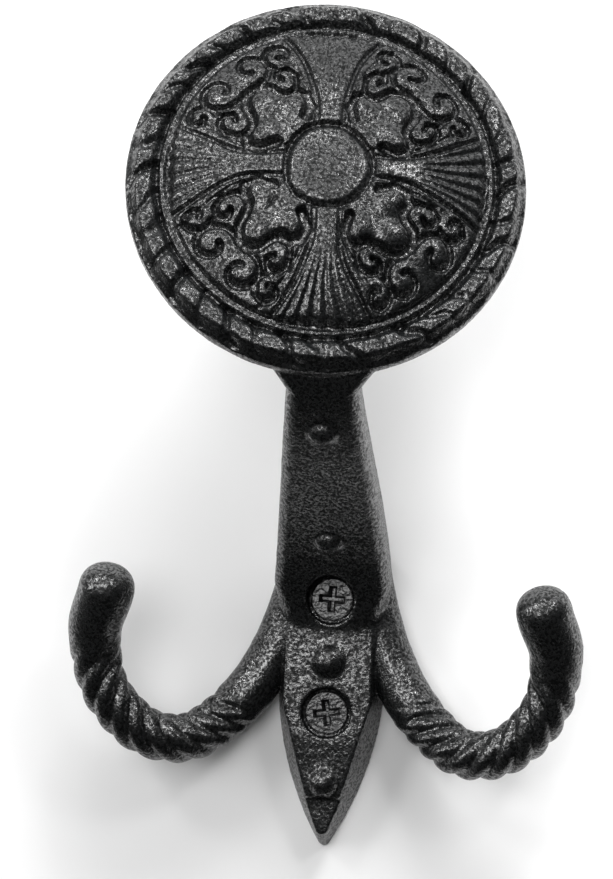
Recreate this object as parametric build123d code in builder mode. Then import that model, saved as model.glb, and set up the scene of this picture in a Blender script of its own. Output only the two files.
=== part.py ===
from build123d import *

import os
from math import cos, pi, radians, sin, sqrt, tan

# A cast-iron coat hook: a tilted round medallion on a sloping neck, over a wall plate with two
# upturned rope-twisted prongs. The wall is the plane y = 0, the front faces -Y, +Z is up, and the
# origin lies on the wall midway between the two screws. Lengths in millimetres, angles in degrees.

# Wood screws
screw_spacing = 22.0
screw_length = 25.0
screw_shank_diameter = 3.8
screw_thread_diameter = 4.2
screw_thread_start = 1.5
screw_point_length = 6.0
screw_point_diameter = 0.6
screw_head_diameter = 8.1
screw_head_angle = 82.0
screw_head_rim = 0.35
cross_span = 5.0
cross_slot = 1.35
cross_depth = 1.9
cross_draft = 8.0
upper_cross_turn = 2.0
lower_cross_turn = -9.0

# Screw holes in the casting
screw_hole_clearance = 0.25
screw_seat_clearance = 0.05
screw_head_drop = 0.9
recess_diameter = 9.7
recess_floor = 0.45

# Wall plate with its pointed tongue
plate_thickness = 8.5
plate_back_width = 20.6
plate_field_width = 17.0
plate_top = 14.0
tongue_shoulder = -9.0
tongue_tip = -38.4
tongue_belly_width = 15.8
tongue_belly = -21.6
field_tip = -35.6
field_belly_width = 11.0
field_belly = -19.5
tongue_fall_start = -15.0
tongue_step = -27.4
tongue_step_depth = 0.8
tongue_step_fall = 1.1
tongue_tip_fall = 2.0
tip_round = 1.3

# Round bosses down the middle
boss_height = 1.7
middle_boss_diameter = 6.4
middle_boss_place = -0.9
tongue_boss_diameter = 5.8
tongue_boss_place = -24.4
neck_boss_diameter = 6.0
neck_boss_places = (0.375, 0.785)

# Neck, from the plate up to the back of the medallion
neck_root_height = 0.0
neck_root_depth = 3.4
neck_root_pull = 28.0
neck_top_pull = 20.0
neck_top_lean = 18.0
neck_root_thickness = 8.4
neck_shoulder_thickness = 10.0
neck_waist_thickness = 9.0
neck_flare_thickness = 8.0
neck_top_thickness = 6.2
neck_root_width = 14.0
neck_shoulder_width = 22.6
neck_waist_width = 13.5
neck_flare_width = 17.6
neck_top_width = 26.0
neck_edge_round = 2.9
neck_shoulder_place = 0.2
neck_waist_place = 0.9
neck_flare_place = 0.935
neck_stations = 30

# Prongs, given for the one on the +X side
prong_diameter = 9.6
prong_root_diameter = 9.7
prong_tip_diameter = 11.0
prong_end_diameter = 10.7
prong_root_x = 5.6
prong_root_height = 19.0
prong_elbow_x = 11.9
prong_elbow_height = -1.5
prong_swing_rise = 4.2
prong_low_x = 29.3
prong_low_height = -17.4
prong_reach_x = 44.3
prong_reach_height = 2.2
prong_tip_inset = 2.4
prong_tip_rise = 8.75
prong_root_depth = 3.6
prong_tip_depth = 22.8
prong_swing_forward = 0.15
prong_low_forward = 0.34
prong_bend_forward = 0.55
prong_reach_forward = 0.77
twist_grooves = 10
twist_start = 31.0
twist_pitch = 3.4
twist_pitch_growth = 0.2
twist_slant = 27.0
twist_depth = 0.5
twist_flank = 2.4
twist_flank_width = 1.2
twist_shift = 0.2
prong_stations = 20
prong_root_share = 0.35
prong_tip_share = 0.3

# Medallion
medallion_reach = 43.0
medallion_height = 89.5
medallion_offset = -1.5
medallion_tilt = 20.0
medallion_turn = 7.0
medallion_radius = 37.2
edge_thickness = 5.2
edge_bevel = 1.2
back_dish_radius = 26.0
back_dish = 4.0
neck_seat = 31.0
neck_seat_shift = 0.9
neck_sink = 3.6
field_radius = 30.0
dome_rise = 7.0
inner_ring_width = 0.9
inner_ring_rise = 0.7
rope_rise = 1.0
rope_seat = 1.6
rope_inset = 0.4
rope_shoulder = 0.7
rope_crown_width = 2.6
rope_strands = 18
rope_slant = 36.0
rope_groove_width = 2.6
rope_groove_depth = 2.3
rope_crease_width = 1.6
rope_crease_depth = 1.3

# Relief on the medallion
button_radius = 8.0
button_rise = 1.5
button_ring_inner = 8.7
button_ring_outer = 9.7
button_ring_rise = 0.9
foliage_rise = 1.6
palmette_rise = 1.2
quarters = 4
band_width = 1.7
petal_angles = (-33.0, -22.0, -11.0, 0.0, 11.0, 22.0, 33.0)
petal_root = 11.5
petal_length = 15.4
petal_width = 2.7
petal_offset = 9.7
stem_width = 4.6
stem_top = 16.0
lobe_sides = 10
eye_sides = 6
leaf_lobe_place = (3.1, 13.2)
leaf_lobe_width = 5.0
leaf_lobe_length = 4.6
leaf_top_place = 17.0
leaf_top_width = 4.2
leaf_top_length = 6.4
leaf_stem_width = 3.0
volute_line = (
    (5.7, 8.6),
    (8.0, 11.3),
    (9.9, 14.4),
    (11.0, 17.6),
    (10.6, 20.2),
    (8.8, 21.3),
    (7.0, 20.6),
    (6.3, 18.8),
)
volute_bulb_place = (7.4, 17.9)
volute_bulb_width = 3.6
shell_place = (3.4, 24.2)
shell_width = 5.8
shell_length = 6.6
shell_lean = -12.0
curl_place = (8.7, 25.6)
curl_width = 4.4
curl_eye_width = 1.5
outer_leaf_place = 28.4
outer_leaf_width = 5.0
outer_leaf_length = 2.2

# The medallion's own frame: local x to the right, local y up its tilted face, local z out of it.
medallion_plane = Plane(
    origin=(medallion_offset, -medallion_reach, medallion_height),
    x_dir=(cos(radians(medallion_turn)), sin(radians(medallion_turn)), 0),
    z_dir=(
        sin(radians(medallion_turn)) * cos(radians(medallion_tilt)),
        -cos(radians(medallion_turn)) * cos(radians(medallion_tilt)),
        sin(radians(medallion_tilt)),
    ),
)
medallion_axis = Axis(medallion_plane.origin, medallion_plane.z_dir)
medallion_section = Plane(
    origin=medallion_plane.origin,
    x_dir=medallion_plane.x_dir,
    z_dir=medallion_plane.y_dir * -1,
)
dome_radius = (field_radius**2 + dome_rise**2) / (2 * dome_rise)
rope_inner = field_radius + inner_ring_width
rope_outer = medallion_radius - rope_inset
rope_middle = (rope_inner + rope_outer) / 2


def dome_height(radius, rise=0.0):
    """Height over the ring plane of the dome, raised by a relief, at a radius."""
    return sqrt((dome_radius + rise) ** 2 - radius**2) + dome_rise - dome_radius


def tongue_outline(half_width, belly_half_width, belly, tip):
    """Leaf-shaped outline of the plate, drawn in front view with its point down."""
    with BuildSketch() as outline:
        with BuildLine():
            right = ThreePointArc((0, tip), (belly_half_width, belly), (half_width, tongue_shoulder))
            left = ThreePointArc((0, tip), (-belly_half_width, belly), (-half_width, tongue_shoulder))
            Polyline(right @ 1, (half_width, plate_top), (-half_width, plate_top), left @ 1)
        make_face()
    return outline.sketch


# Wall plate: a drafted block that ends below in the pointed tongue
with BuildPart() as plate:
    with BuildSketch(Plane.XZ):
        add(tongue_outline(plate_back_width / 2, tongue_belly_width / 2, tongue_belly, tongue_tip))
    with BuildSketch(Plane.XZ.offset(plate_thickness)):
        add(tongue_outline(plate_field_width / 2, field_belly_width / 2, field_belly, field_tip))
    loft(ruled=True)
    fillet(plate.edges().sort_by(Axis.Z)[0], tip_round)
    # The front of the tongue falls back towards its tip, with a small step under the lowest boss.
    with BuildSketch(Plane.YZ):
        with BuildLine():
            Polyline(
                (-plate_thickness, tongue_fall_start),
                (-plate_thickness + tongue_step_fall, tongue_step),
                (-plate_thickness + tongue_step_fall + tongue_step_depth, tongue_step),
                (-plate_thickness + tongue_tip_fall + tongue_step_depth, tongue_tip),
                (-2 * plate_thickness, tongue_tip),
                (-2 * plate_thickness, tongue_fall_start),
                close=True,
            )
        make_face()
    extrude(amount=plate_back_width, both=True, mode=Mode.SUBTRACT)

# Neck: rounded bar sections along a curve that leaves the wall and ends in the medallion's back
neck_top = medallion_plane.from_local_coords((neck_seat_shift, -neck_seat, -neck_sink))
neck_top_pull_to = (
    0,
    neck_top.Y + neck_top_pull * sin(radians(neck_top_lean)),
    neck_top.Z - neck_top_pull * cos(radians(neck_top_lean)),
)
with BuildLine() as neck_line:
    Bezier(
        (0, -neck_root_depth, neck_root_height),
        (0, -neck_root_depth, neck_root_height + neck_root_pull),
        neck_top_pull_to,
        neck_top,
    )
neck_curve = neck_line.edge()
neck_sizes = (
    (0.0, neck_root_width, neck_root_thickness),
    (neck_shoulder_place, neck_shoulder_width, neck_shoulder_thickness),
    (neck_waist_place, neck_waist_width, neck_waist_thickness),
    (neck_flare_place, neck_flare_width, neck_flare_thickness),
    (1.0, neck_top_width, neck_top_thickness),
)


def neck_plane(place):
    """Plane across the neck at a share of its curve, its local y pointing to the wall."""
    return Plane(origin=neck_curve @ place, x_dir=(1, 0, 0), z_dir=neck_curve % place)


def neck_section(place):
    """Width and thickness of the neck at a share of its curve, even between the listed sizes."""
    for (start, *size), (end, *next_size) in zip(neck_sizes, neck_sizes[1:]):
        if start <= place <= end:
            share = (place - start) / (end - start)
            return [before + share * (after - before) for before, after in zip(size, next_size)]


with BuildPart() as neck:
    for station in range(neck_stations + 1):
        place = station / neck_stations
        width, thickness = neck_section(place)
        with BuildSketch(neck_plane(place)):
            RectangleRounded(width, thickness, neck_edge_round)
    loft(ruled=True)
    split(bisect_by=Plane.XZ, keep=Keep.TOP)

# Prong: a round bar that swings down, out and up while it comes forward, with a rope twist
low_to_reach_x = prong_reach_x - prong_low_x
low_to_reach_height = prong_reach_height - prong_low_height
prong_coming_forward = prong_tip_depth - prong_root_depth


def prong_point(x, height, forward):
    """Point of the prong's centre line; forward runs from 0 at the root to 1 at the tip."""
    return (x, -prong_root_depth - forward * prong_coming_forward, height)


with BuildLine() as prong_line:
    Spline(
        prong_point(prong_root_x, prong_root_height, 0.0),
        prong_point(prong_elbow_x, prong_elbow_height, 0.0),
        prong_point(
            (prong_elbow_x + prong_low_x) / 2,
            prong_low_height + prong_swing_rise,
            prong_swing_forward,
        ),
        prong_point(prong_low_x, prong_low_height, prong_low_forward),
        prong_point(
            prong_low_x + low_to_reach_x * sin(pi / 4),
            prong_reach_height - low_to_reach_height * cos(pi / 4),
            prong_bend_forward,
        ),
        prong_point(prong_reach_x, prong_reach_height, prong_reach_forward),
        prong_point(prong_reach_x - prong_tip_inset, prong_reach_height + prong_tip_rise, 1.0),
    )
prong_curve = prong_line.edge()


def twist_plane(place):
    """Plane through one slanted groove's axis, local x to the front and local y along that axis."""
    along = prong_curve % place
    front = Vector(0, -1, 0)
    front = (front - along * front.dot(along)).normalized()
    outward = along.cross(front)
    slant = radians(twist_slant)
    axis = along * cos(slant) + outward * sin(slant)
    centre = prong_curve @ place + outward * twist_shift
    return Plane(origin=centre, x_dir=front, z_dir=front.cross(axis))


twist_places = []
twist_travel = twist_start
for groove in range(twist_grooves):
    twist_places.append(twist_travel / prong_curve.length)
    twist_travel += twist_pitch + groove * twist_pitch_growth

with BuildPart() as prong:
    for station in range(prong_stations + 1):
        place = station / prong_stations
        widening = max(0.0, 1 - place / prong_root_share) * (prong_root_diameter - prong_diameter)
        swelling = max(0.0, 1 - (1 - place) / prong_tip_share) * (prong_end_diameter - prong_diameter)
        with BuildSketch(Plane(origin=prong_curve @ place, x_dir=(0, -1, 0), z_dir=prong_curve % place)):
            Circle((prong_diameter + widening + swelling) / 2)
    loft(ruled=True)
    with Locations(prong_curve @ 1):
        Sphere(prong_tip_diameter / 2)
    for place in twist_places:
        groove_floor = prong_diameter / 2 - twist_depth
        with BuildSketch(twist_plane(place)):
            with BuildLine():
                Polyline(
                    (groove_floor, 0),
                    (groove_floor + twist_flank, twist_flank_width),
                    (groove_floor + twist_flank, -twist_flank_width),
                    close=True,
                )
            make_face()
        revolve(axis=Axis(twist_plane(place).origin, twist_plane(place).y_dir), mode=Mode.SUBTRACT)
    split(bisect_by=Plane.XZ, keep=Keep.TOP)

# Medallion: a domed disc with a dished back, a thin ring round its field and a rope border
with BuildPart() as medallion:
    with BuildSketch(medallion_section):
        with BuildLine():
            dish = ThreePointArc(
                (0, back_dish - edge_thickness),
                (back_dish_radius / 2, 0.75 * back_dish - edge_thickness),
                (back_dish_radius, -edge_thickness),
            )
            edge = Polyline(
                dish @ 1,
                (medallion_radius - edge_bevel, -edge_thickness),
                (medallion_radius, edge_bevel - edge_thickness),
                (medallion_radius, -rope_seat),
                (rope_inner, -rope_seat),
                (rope_inner, inner_ring_rise),
                (field_radius, inner_ring_rise),
                (field_radius, 0),
            )
            dome = ThreePointArc(
                edge @ 1,
                (field_radius / 2, dome_height(field_radius / 2)),
                (0, dome_rise),
            )
            Line(dome @ 1, dish @ 0)
        make_face()
    revolve(axis=medallion_axis)


def groove_plane(angle):
    """Plane across one slanted groove of the rope, its local y out of the medallion's face."""
    turn = radians(angle)
    slant = radians(angle + rope_slant)
    centre = medallion_plane.from_local_coords((rope_middle * cos(turn), rope_middle * sin(turn), rope_rise))
    across = medallion_plane.x_dir * -sin(slant) + medallion_plane.y_dir * cos(slant)
    along = medallion_plane.x_dir * cos(slant) + medallion_plane.y_dir * sin(slant)
    return Plane(origin=centre, x_dir=across, z_dir=along)


def groove_notch(width, depth):
    """V-shaped section of a groove, with its open side just clear of the rope's crown."""
    with BuildSketch() as notch:
        with BuildLine():
            Polyline((-width / 2, 0), (0, -depth), (width / 2, 0), close=True)
        make_face()
    return notch.sketch


strand_angle = 360 / rope_strands
groove_planes = [groove_plane(strand_angle * index) for index in range(rope_strands)]
crease_planes = [groove_plane(strand_angle * (index + 0.5)) for index in range(rope_strands)]

with BuildPart() as rope:
    with BuildSketch(medallion_section):
        with BuildLine():
            Polyline(
                (rope_inner, -rope_shoulder),
                (rope_middle - rope_crown_width / 2, rope_rise),
                (rope_middle + rope_crown_width / 2, rope_rise),
                (rope_outer, -rope_shoulder),
                (rope_outer, -2 * rope_seat),
                (rope_inner, -2 * rope_seat),
                close=True,
            )
        make_face()
    revolve(axis=medallion_axis)
    with BuildSketch(*groove_planes):
        add(groove_notch(rope_groove_width, rope_groove_depth))
    extrude(amount=medallion_radius - rope_inner, both=True, mode=Mode.SUBTRACT)
    with BuildSketch(*crease_planes):
        add(groove_notch(rope_crease_width, rope_crease_depth))
    extrude(amount=medallion_radius - rope_inner, both=True, mode=Mode.SUBTRACT)


def oval(width, length, sides, rotation=0.0, mode=Mode.ADD):
    """Oval of straight sides about the local origin, its length along local y before turning."""
    points = []
    for index in range(sides):
        angle = 2 * pi * index / sides
        points.append((width / 2 * sin(angle), length / 2 * cos(angle)))
    return Polygon(*points, rotation=rotation, align=None, mode=mode)


def band(line, width):
    """Strip of even width along a line of points."""
    left_side = []
    right_side = []
    for index, (x, y) in enumerate(line):
        before = Vector(*line[max(0, index - 1)])
        after = Vector(*line[min(len(line) - 1, index + 1)])
        across = (after - before).normalized().rotate(Axis.Z, 90) * (width / 2)
        left_side.append((x + across.X, y + across.Y))
        right_side.append((x - across.X, y - across.Y))
    return Polygon(*left_side, *reversed(right_side), align=None)


def foliage_quarter():
    """One quarter's foliage with its axis along local y: a trefoil, two volutes, shells and curls."""
    with BuildSketch() as quarter:
        with Locations(leaf_lobe_place):
            oval(leaf_lobe_width, leaf_lobe_length, lobe_sides)
        with Locations(shell_place):
            oval(shell_width, shell_length, lobe_sides, shell_lean)
        with Locations(curl_place):
            oval(curl_width, curl_width, lobe_sides)
            oval(curl_eye_width, curl_eye_width, eye_sides, mode=Mode.SUBTRACT)
        band(volute_line, band_width)
        with Locations(volute_bulb_place):
            oval(volute_bulb_width, volute_bulb_width, lobe_sides)
        mirror(about=Plane.YZ)
        with Locations((0, leaf_top_place)):
            oval(leaf_top_width, leaf_top_length, lobe_sides)
        with Locations((0, (button_radius + leaf_top_place) / 2)):
            Rectangle(leaf_stem_width, leaf_top_place - button_radius)
        with Locations((0, outer_leaf_place)):
            oval(outer_leaf_width, outer_leaf_length, lobe_sides)
    return quarter.sketch


def palmette():
    """One fan of petals on a short stem, with its axis along local y."""
    with BuildSketch() as fan:
        for angle in petal_angles:
            turn = radians(angle)
            with Locations((petal_offset * sin(turn), petal_root + petal_offset * cos(turn))):
                oval(petal_width, petal_length, lobe_sides, -angle)
        with Locations((0, (button_radius + stem_top) / 2)):
            Rectangle(stem_width, stem_top - button_radius)
    return fan.sketch


def dome_layer(rise, radius):
    """Section of the dome raised by a relief, out to a radius, for turning about its axis."""
    with BuildSketch() as layer:
        with BuildLine():
            top = ThreePointArc(
                (0, dome_height(0, rise)),
                (radius / 2, dome_height(radius / 2, rise)),
                (radius, dome_height(radius, rise)),
            )
            Polyline(top @ 1, (radius, -rope_seat), (0, -rope_seat), top @ 0)
        make_face()
    return layer.sketch


def relief(motif, first_angle, rise):
    """A motif repeated round the medallion and raised to an even height over the dome."""
    with BuildPart() as raised:
        with BuildSketch(medallion_plane):
            with PolarLocations(0, quarters, start_angle=first_angle):
                add(motif)
        extrude(amount=dome_rise + 2 * rise)
        with BuildSketch(medallion_section):
            add(dome_layer(rise, field_radius))
        revolve(axis=medallion_axis, mode=Mode.INTERSECT)
    return raised.part


foliage = relief(foliage_quarter(), 180 / quarters - 90, foliage_rise)
palmettes = relief(palmette(), 0, palmette_rise)

with BuildPart() as button:
    with BuildSketch(medallion_section):
        add(dome_layer(button_ring_rise, button_ring_outer))
        add(dome_layer(button_rise, button_ring_inner), mode=Mode.SUBTRACT)
        add(dome_layer(button_rise, button_radius))
    revolve(axis=medallion_axis)

# Bosses: low spherical caps on the plate, the tongue and the neck
tongue_slope = tongue_step_fall / (tongue_fall_start - tongue_step)
tongue_boss_fall = tongue_slope * (tongue_fall_start - tongue_boss_place)


def cap_radius(diameter):
    """Radius of the sphere whose cap has a boss's diameter and height."""
    return (diameter**2 / 4 + boss_height**2) / (2 * boss_height)


def boss_centre(surface_point, inward, diameter):
    """Centre of a boss's sphere, sunk below the surface point that it stands on."""
    return Vector(surface_point) + Vector(inward) * (cap_radius(diameter) - boss_height)


plate_bosses = (
    (middle_boss_diameter, (0, -plate_thickness, middle_boss_place)),
    (tongue_boss_diameter, (0, tongue_boss_fall - plate_thickness, tongue_boss_place)),
)

# Screw seat: the bore, the cone under the head and the shallow recess round it
screw_head_top = screw_head_drop - plate_thickness
screw_cone_start = screw_head_top + screw_head_rim
screw_shank_radius = screw_shank_diameter / 2
screw_thread_radius = screw_thread_diameter / 2
screw_head_radius = screw_head_diameter / 2
cone_slope = 1 / tan(radians(screw_head_angle / 2))
seat_hole_radius = screw_thread_radius + screw_hole_clearance
seat_radius = screw_head_radius + screw_seat_clearance
front_clear = medallion_reach + medallion_radius
with BuildPart() as screw_seat:
    with BuildSketch(Plane.YZ):
        with BuildLine():
            Polyline(
                (plate_thickness, 0),
                (plate_thickness, seat_hole_radius),
                (screw_cone_start + (seat_radius - seat_hole_radius) * cone_slope, seat_hole_radius),
                (screw_cone_start, seat_radius),
                (screw_head_top + recess_floor, seat_radius),
                (screw_head_top + recess_floor, recess_diameter / 2),
                (-front_clear, recess_diameter / 2),
                (-front_clear, 0),
                close=True,
            )
        make_face()
    revolve(axis=Axis.Y)

with BuildPart() as hook_casting:
    add(plate.part)
    add(neck.part)
    add(prong.part)
    mirror(prong.part, about=Plane.YZ)
    for diameter, surface_point in plate_bosses:
        with Locations(boss_centre(surface_point, (0, 1, 0), diameter)):
            Sphere(cap_radius(diameter))
    for place in neck_boss_places:
        across = neck_plane(place)
        width, thickness = neck_section(place)
        surface_point = across.origin - across.y_dir * (thickness / 2)
        with Locations(boss_centre(surface_point, across.y_dir, neck_boss_diameter)):
            Sphere(cap_radius(neck_boss_diameter))
    add(medallion.part)
    add(rope.part)
    add(button.part)
    add(foliage)
    add(palmettes)
    with Locations((0, 0, screw_spacing / 2), (0, 0, -screw_spacing / 2)):
        add(screw_seat.part, mode=Mode.SUBTRACT)

# Wood screw: flat countersunk head with a cross recess, plain shank, threaded part and a blunt point
screw_end = screw_head_top + screw_length
screw_cone_end = screw_cone_start + (screw_head_radius - screw_shank_radius) * cone_slope
cross_plane = Plane(origin=(0, screw_head_top, 0), x_dir=(1, 0, 0), z_dir=(0, 1, 0))
with BuildPart() as screw:
    with BuildSketch(Plane.YZ):
        with BuildLine():
            Polyline(
                (screw_head_top, 0),
                (screw_head_top, screw_head_radius),
                (screw_cone_start, screw_head_radius),
                (screw_cone_end, screw_shank_radius),
                (screw_thread_start, screw_shank_radius),
                (screw_thread_start, screw_thread_radius),
                (screw_end - screw_point_length, screw_thread_radius),
                (screw_end, screw_point_diameter / 2),
                (screw_end, 0),
                close=True,
            )
        make_face()
    revolve(axis=Axis.Y)
    with BuildSketch(cross_plane):
        Rectangle(cross_span, cross_slot)
        Rectangle(cross_slot, cross_span)
    extrude(amount=cross_depth, taper=cross_draft, mode=Mode.SUBTRACT)

upper_screw = Location((0, 0, screw_spacing / 2), (0, upper_cross_turn, 0))
lower_screw = Location((0, 0, -screw_spacing / 2), (0, lower_cross_turn, 0))
with BuildPart() as wood_screws:
    with Locations(upper_screw, lower_screw):
        add(screw.part)

os.makedirs("parts", exist_ok=True)
hook_casting.part.label = "hook_casting"
export_step(hook_casting.part, "parts/hook_casting.step")
wood_screws.part.label = "wood_screws"
export_step(wood_screws.part, "parts/wood_screws.step")
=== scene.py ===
# %% [markdown]
# # A cast-iron coat hook
# The hook is one iron casting, painted black, and two countersunk wood screws. The solids from the
# CAD model are loaded first as a fixed frame. Everything made here lies in that frame, in metres, with
# the wall at y = 0, the front towards -Y and +Z up.

# %% Load the frame
from math import atan, cos, degrees, pi, radians, sin, tan

import bmesh
import bpy
import numpy as np
from mathutils import Matrix, Vector


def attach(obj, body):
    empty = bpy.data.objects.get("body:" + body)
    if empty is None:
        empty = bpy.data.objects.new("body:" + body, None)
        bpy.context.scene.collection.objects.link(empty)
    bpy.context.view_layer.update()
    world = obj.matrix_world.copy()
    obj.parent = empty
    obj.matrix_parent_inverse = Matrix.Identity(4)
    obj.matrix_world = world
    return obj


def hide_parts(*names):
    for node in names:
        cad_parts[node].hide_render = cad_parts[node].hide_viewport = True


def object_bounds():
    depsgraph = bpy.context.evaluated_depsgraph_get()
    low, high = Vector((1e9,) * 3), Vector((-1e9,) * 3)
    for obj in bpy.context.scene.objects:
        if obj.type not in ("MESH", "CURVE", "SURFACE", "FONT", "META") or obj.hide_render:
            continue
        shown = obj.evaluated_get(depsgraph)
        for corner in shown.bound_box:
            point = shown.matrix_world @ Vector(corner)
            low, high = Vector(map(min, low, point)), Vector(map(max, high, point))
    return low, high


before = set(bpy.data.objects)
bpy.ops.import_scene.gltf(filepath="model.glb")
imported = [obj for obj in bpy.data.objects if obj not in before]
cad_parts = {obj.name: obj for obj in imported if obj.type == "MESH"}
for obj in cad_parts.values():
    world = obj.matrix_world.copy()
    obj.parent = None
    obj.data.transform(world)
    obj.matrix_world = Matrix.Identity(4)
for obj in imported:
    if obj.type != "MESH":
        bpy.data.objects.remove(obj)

MM = 0.001
cad_low, cad_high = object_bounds()
scene = bpy.context.scene
scene.view_settings.view_transform = "Standard"
print("CAD box in mm:", [round(v / MM, 2) for v in cad_low], [round(v / MM, 2) for v in cad_high])

# %% [markdown]
# ## Camera
# The photograph was taken from a little to the right with a long lens, level with the neck, and the
# hook leans slightly to the right in it. A long lens far away keeps the round medallion round, so the
# camera stands 800 mm off. The lean is made by rolling the camera and not by turning the object.

# %% Camera
IMAGE_WIDTH = 613
IMAGE_HEIGHT = 879
CAMERA_DISTANCE = 800 * MM
CAMERA_AZIMUTH = radians(5.6)
CAMERA_ROLL = radians(2.9)
CAMERA_HEIGHT = 42 * MM
FOCAL_PIXELS = 4098
AXIS_PIXEL_X = 344.2
SENSOR = 36.0
CLIP_START = 50 * MM
CLIP_END = 10

view_right = Vector((cos(CAMERA_AZIMUTH), sin(CAMERA_AZIMUTH), 0))
view_ahead = Vector((-sin(CAMERA_AZIMUTH), cos(CAMERA_AZIMUTH), 0))
view_up = Vector((0, 0, 1))
rolled_right = view_right * cos(CAMERA_ROLL) + view_up * sin(CAMERA_ROLL)
rolled_up = view_up * cos(CAMERA_ROLL) - view_right * sin(CAMERA_ROLL)
aim_turn = atan((AXIS_PIXEL_X - IMAGE_WIDTH / 2) / FOCAL_PIXELS)
aimed_ahead = view_ahead * cos(aim_turn) - rolled_right * sin(aim_turn)
aimed_right = rolled_right * cos(aim_turn) + view_ahead * sin(aim_turn)

lens = bpy.data.cameras.new("photo_lens")
lens.sensor_width = SENSOR
lens.lens = FOCAL_PIXELS * SENSOR / IMAGE_HEIGHT
lens.clip_start = CLIP_START
lens.clip_end = CLIP_END
camera = bpy.data.objects.new("photo_camera", lens)
scene.collection.objects.link(camera)
camera_place = view_up * CAMERA_HEIGHT - view_ahead * CAMERA_DISTANCE
camera_axes = Matrix((aimed_right, rolled_up, -aimed_ahead)).transposed()
camera.matrix_world = Matrix.Translation(camera_place) @ camera_axes.to_4x4()
scene.camera = camera
print("camera lens", round(lens.lens, 1), "mm, aimed", round(degrees(aim_turn), 2), "degrees to the left")

# %% [markdown]
# ## Materials: small helpers
# Colours are written as the sRGB values one would read from a swatch, and one function turns them into
# the linear values that Blender works in. A second one adds a node with its settings and its links, so
# that each material below reads as a list of what it is made of. The sockets of two kinds of node share
# their names with hidden ones, so those sockets are given by number.

# %% Material helpers
RANGE_VALUE, FROM_LOW, FROM_HIGH, TO_LOW, TO_HIGH = range(5)
MIX_SHARE, MIX_RESULT, MIX_FIRST, MIX_SECOND = 0, 2, 6, 7


def linear(hex_colour):
    """Linear RGBA from an sRGB hex colour such as 1a1b1d."""
    channels = [int(hex_colour[i:i + 2], 16) / 255 for i in (0, 2, 4)]
    return [c / 12.92 if c <= 0.04045 else ((c + 0.055) / 1.055) ** 2.4 for c in channels] + [1.0]


def add_node(tree, kind, settings=None, values=None, links=None):
    """Add a node, set its properties and input values, and link other nodes' outputs to its inputs."""
    node = tree.nodes.new(kind)
    for name, value in (settings or {}).items():
        setattr(node, name, value)
    for name, value in (values or {}).items():
        node.inputs[name].default_value = value
    for name, (source, output) in (links or {}).items():
        tree.links.new(source.outputs[output], node.inputs[name])
    return node


def new_material(name):
    """An empty node material and its tree."""
    material = bpy.data.materials.new(name)
    material.use_nodes = True
    material.node_tree.nodes.clear()
    return material, material.node_tree


print("sRGB 808080 in linear values:", [round(c, 4) for c in linear("808080")])

# %% [markdown]
# ## White board
# The hook hangs on a plain white board, which stands in for the white ground of the photograph. It is
# only a little larger than the picture, because the neck would mirror a larger one and look grey. Its
# colour is a pale one that takes shadows, with a very little light of its own for the rays that come
# from the camera, a mirror or glass. From behind it is clear, so that the hook's back can be looked at.

# %% White board
WALL_SIZE = 0.3
WALL_RISE = 0.055
WALL_GAP = 0.15 * MM
WALL_GLOW = 0.03
WALL_COLOUR = linear("f0f0f0")

wall_paint, tree = new_material("white_wall_paint")
rays = add_node(tree, "ShaderNodeLightPath")
sides = add_node(tree, "ShaderNodeNewGeometry")
seen = add_node(
    tree, "ShaderNodeMath", {"operation": "ADD"},
    links={0: (rays, "Is Camera Ray"), 1: (rays, "Is Glossy Ray")},
)
seen = add_node(
    tree, "ShaderNodeMath", {"operation": "ADD"},
    links={0: (seen, 0), 1: (rays, "Is Transmission Ray")},
)
glow = add_node(tree, "ShaderNodeMath", {"operation": "MULTIPLY"}, {1: WALL_GLOW}, {0: (seen, 0)})
chalk = add_node(tree, "ShaderNodeBsdfDiffuse", values={"Color": WALL_COLOUR})
own_light = add_node(
    tree, "ShaderNodeEmission", values={"Color": (1, 1, 1, 1)}, links={"Strength": (glow, 0)},
)
front = add_node(tree, "ShaderNodeAddShader", links={0: (chalk, 0), 1: (own_light, 0)})
clear = add_node(tree, "ShaderNodeBsdfTransparent")
sided = add_node(tree, "ShaderNodeMixShader", links={0: (sides, "Backfacing"), 1: (front, 0), 2: (clear, 0)})
add_node(tree, "ShaderNodeOutputMaterial", links={"Surface": (sided, 0)})

bm = bmesh.new()
to_front = Matrix.Rotation(radians(90), 4, "X")
bmesh.ops.create_grid(bm, x_segments=1, y_segments=1, size=WALL_SIZE / 2, matrix=to_front)
bmesh.ops.translate(bm, verts=bm.verts, vec=(0, WALL_GAP, WALL_RISE))
wall_mesh = bpy.data.meshes.new("wall")
bm.to_mesh(wall_mesh)
bm.free()
wall = bpy.data.objects.new("wall", wall_mesh)
wall_mesh.materials.append(wall_paint)
scene.collection.objects.link(wall)
print("white board", WALL_SIZE / MM, "mm wide and high")

# %% [markdown]
# ## Sky
# Glossy black iron shows little colour of its own and mostly mirrors what is round it. So the sky is
# bright above and dark below: the face of the medallion looks up and turns grey, and the front of the
# neck looks down and stays dark. An evenly lit sky would make both the same.

# %% Sky
SKY_LOW = sin(radians(12))
SKY_HIGH = sin(radians(52))
SKY_DARK = 0.03
SKY_BRIGHT = 0.75

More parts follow.
